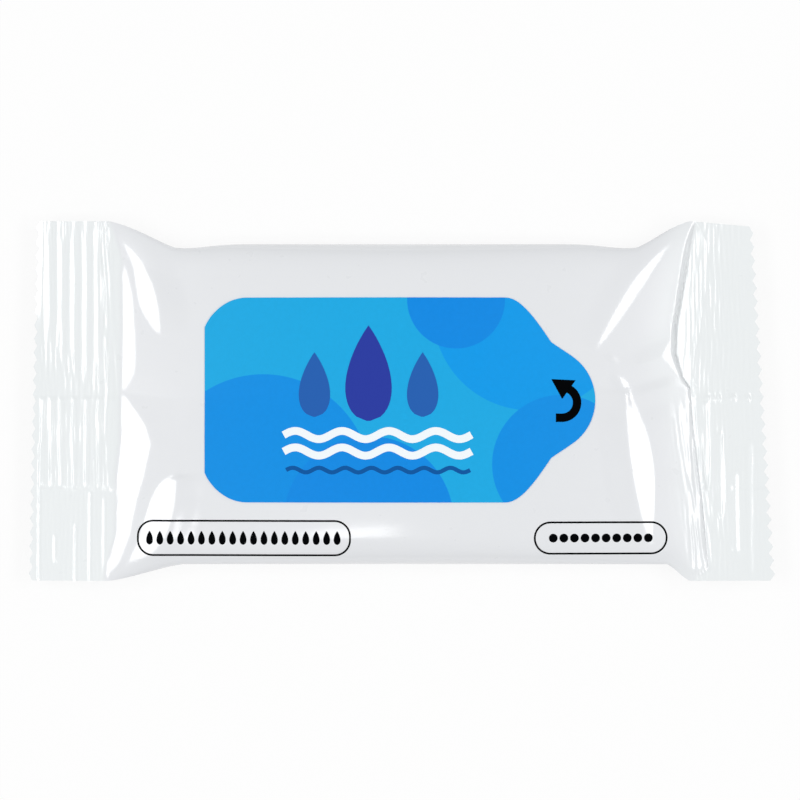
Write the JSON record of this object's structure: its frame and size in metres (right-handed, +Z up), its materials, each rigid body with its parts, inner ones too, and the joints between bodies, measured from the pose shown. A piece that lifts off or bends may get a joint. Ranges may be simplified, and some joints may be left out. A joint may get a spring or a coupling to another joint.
{
  "type": "wet wipes pack",
  "caption": "Flat pillow pouch of white film holding folded moist wipes, crimped and zigzag cut at both ends, with a blue resealable label and lifting tab on top.",
  "frame": {"origin": "on the table, under the middle of the pack's outline", "axes": "+X along the pack towards the label's tab, +Y across the pack, +Z up through the label"},
  "size_m": [0.146, 0.0702, 0.0119],
  "materials": {
    "film": "glossy white film, crimped at the ends",
    "label": "satin printed film in two blues"
  },
  "bodies": {
    "root": {"pouch": "film", "reseal_label": "label"}
  },
  "joints": []
}
